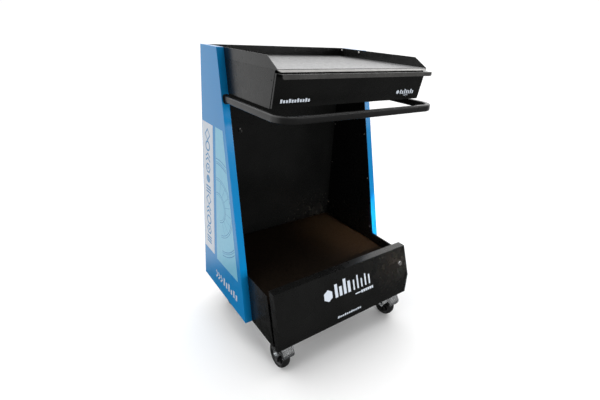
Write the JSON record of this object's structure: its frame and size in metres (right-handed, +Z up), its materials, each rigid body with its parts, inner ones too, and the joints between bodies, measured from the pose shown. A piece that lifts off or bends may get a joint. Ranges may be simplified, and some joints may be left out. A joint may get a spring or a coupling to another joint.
{
  "type": "workshop diagnostics trolley",
  "caption": "Wheeled steel equipment trolley with a matted worktop tray, shallow drawer, open bay, matted shelf over a lockable lower drawer, wrap-round push handle and swivel casters.",
  "frame": {"origin": "on the floor under the middle of the trolley's footprint", "axes": "+Z up, +X to the right when facing the front, the front with the drawers and handle faces -Y"},
  "size_m": [0.7, 0.568, 1.103],
  "materials": {
    "blue_cladding": "glossy blue paint on folded steel",
    "black_frame": "fine-textured semi-gloss black powder coat",
    "worktop_rubber": "fine ribbed black rubber mat",
    "shelf_rubber": "coarse brown-black recycled rubber mat",
    "liner_rubber": "matt black drawer liner",
    "handle_tube": "semi-gloss black powder coat on steel tube",
    "black_plastic": "moulded black plastic",
    "bright_screw": "nickel-plated steel",
    "slide_steel": "zinc-plated slide rail",
    "zinc_steel": "bright zinc-plated pressed steel",
    "chrome_trim": "polished chrome plate",
    "tyre_rubber": "black solid rubber",
    "white_print": "satin white printed film",
    "light_blue_print": "satin light blue printed film",
    "hub_plastic": "moulded black nylon"
  },
  "bodies": {
    "root": {"right_side_cladding": "blue_cladding", "left_side_cladding": "blue_cladding", "right_inner_wall": "black_frame", "left_inner_wall": "black_frame", "back_panel": "black_frame", "cable_hook": "bright_screw", "base_box": "black_frame", "base_plate": "black_frame", "shelf": "black_frame", "shelf_mat": "shelf_rubber", "drawer_housing": "black_frame", "worktop_tray": "black_frame", "worktop_mat": "worktop_rubber", "push_handle": "handle_tube", "handle_grommets": "black_plastic", "handle_brackets": "zinc_steel", "wall_screws": "bright_screw", "rim_screws": "bright_screw", "top_slide_outer_rails": "slide_steel", "lower_slide_outer_rails": "slide_steel", "lock_strike": "zinc_steel", "caster_bolts": "zinc_steel", "caster_nuts": "zinc_steel", "front_left_caster_plate": "zinc_steel", "front_right_caster_plate": "zinc_steel", "rear_left_caster_plate": "zinc_steel", "rear_right_caster_plate": "zinc_steel"},
    "top_drawer": {"top_drawer_front": "black_frame", "top_drawer_box": "black_frame", "top_drawer_liner": "liner_rubber", "top_slide_inner_rails": "slide_steel"},
    "top_slide_middle": {"top_slide_middle_rails": "slide_steel"},
    "lower_drawer": {"lower_drawer_front": "black_frame", "lower_drawer_box": "black_frame", "lower_drawer_liner": "liner_rubber", "lower_slide_inner_rails": "slide_steel", "lock_barrel": "chrome_trim", "lock_nut": "zinc_steel"},
    "lower_slide_middle": {"lower_slide_middle_rails": "slide_steel"},
    "lock_cylinder": {"lock_plug": "chrome_trim", "lock_cam": "zinc_steel"},
    "front_left_swivel": {"front_left_fork": "zinc_steel", "front_left_axle": "zinc_steel"},
    "front_left_wheel": {"front_left_hub": "hub_plastic", "front_left_tyre": "tyre_rubber"},
    "front_left_pedal": {"front_left_brake_pedal": "chrome_trim"},
    "front_right_swivel": {"front_right_fork": "zinc_steel", "front_right_axle": "zinc_steel"},
    "front_right_wheel": {"front_right_hub": "hub_plastic", "front_right_tyre": "tyre_rubber"},
    "front_right_pedal": {"front_right_brake_pedal": "chrome_trim"},
    "rear_left_swivel": {"rear_left_fork": "zinc_steel", "rear_left_axle": "zinc_steel"},
    "rear_left_wheel": {"rear_left_hub": "hub_plastic", "rear_left_tyre": "tyre_rubber"},
    "rear_right_swivel": {"rear_right_fork": "zinc_steel", "rear_right_axle": "zinc_steel"},
    "rear_right_wheel": {"rear_right_hub": "hub_plastic", "rear_right_tyre": "tyre_rubber"}
  },
  "joints": [
    {"name": "top_drawer_slide", "type": "slide", "parent": "root", "child": "top_drawer", "axis": [0, -1, 0], "range_m": [0, 0.35]},
    {"name": "top_middle_slide", "type": "slide", "parent": "root", "child": "top_slide_middle", "axis": [0, -1, 0], "range_m": [0, 0.175]},
    {"name": "lower_drawer_slide", "type": "slide", "parent": "root", "child": "lower_drawer", "axis": [0, -1, 0], "range_m": [0, 0.4]},
    {"name": "lower_middle_slide", "type": "slide", "parent": "root", "child": "lower_slide_middle", "axis": [0, -1, 0], "range_m": [0, 0.2]},
    {"name": "lock_turn", "type": "hinge", "parent": "lower_drawer", "child": "lock_cylinder", "pos_m": [0.286, -0.26449, 0.27], "axis": [0, -0.9434, 0.3316], "range_deg": [0, 90]},
    {"name": "front_left_swivel_turn", "type": "hinge", "parent": "root", "child": "front_left_swivel", "pos_m": [-0.272, -0.186, 0.12], "axis": [0, 0, 1], "continuous": true},
    {"name": "front_left_wheel_spin", "type": "hinge", "parent": "front_left_swivel", "child": "front_left_wheel", "pos_m": [-0.272, -0.222, 0.05], "axis": [1, 0, 0], "continuous": true},
    {"name": "front_left_brake_press", "type": "hinge", "parent": "front_left_swivel", "child": "front_left_pedal", "pos_m": [-0.272, -0.258, 0.1], "axis": [1, 0, 0], "range_deg": [0, 10]},
    {"name": "front_right_swivel_turn", "type": "hinge", "parent": "root", "child": "front_right_swivel", "pos_m": [0.272, -0.186, 0.12], "axis": [0, 0, 1], "continuous": true},
    {"name": "front_right_wheel_spin", "type": "hinge", "parent": "front_right_swivel", "child": "front_right_wheel", "pos_m": [0.272, -0.222, 0.05], "axis": [1, 0, 0], "continuous": true},
    {"name": "front_right_brake_press", "type": "hinge", "parent": "front_right_swivel", "child": "front_right_pedal", "pos_m": [0.272, -0.258, 0.1], "axis": [1, 0, 0], "range_deg": [0, 10]},
    {"name": "rear_left_swivel_turn", "type": "hinge", "parent": "root", "child": "rear_left_swivel", "pos_m": [-0.272, 0.209, 0.12], "axis": [0, 0, 1], "continuous": true},
    {"name": "rear_left_wheel_spin", "type": "hinge", "parent": "rear_left_swivel", "child": "rear_left_wheel", "pos_m": [-0.272, 0.173, 0.05], "axis": [1, 0, 0], "continuous": true},
    {"name": "rear_right_swivel_turn", "type": "hinge", "parent": "root", "child": "rear_right_swivel", "pos_m": [0.272, 0.209, 0.12], "axis": [0, 0, 1], "continuous": true},
    {"name": "rear_right_wheel_spin", "type": "hinge", "parent": "rear_right_swivel", "child": "rear_right_wheel", "pos_m": [0.272, 0.173, 0.05], "axis": [1, 0, 0], "continuous": true}
  ],
  "couplings": [
    {"joint": "top_middle_slide", "follows": "top_drawer_slide", "ratio": 0.5},
    {"joint": "lower_middle_slide", "follows": "lower_drawer_slide", "ratio": 0.5}
  ]
}
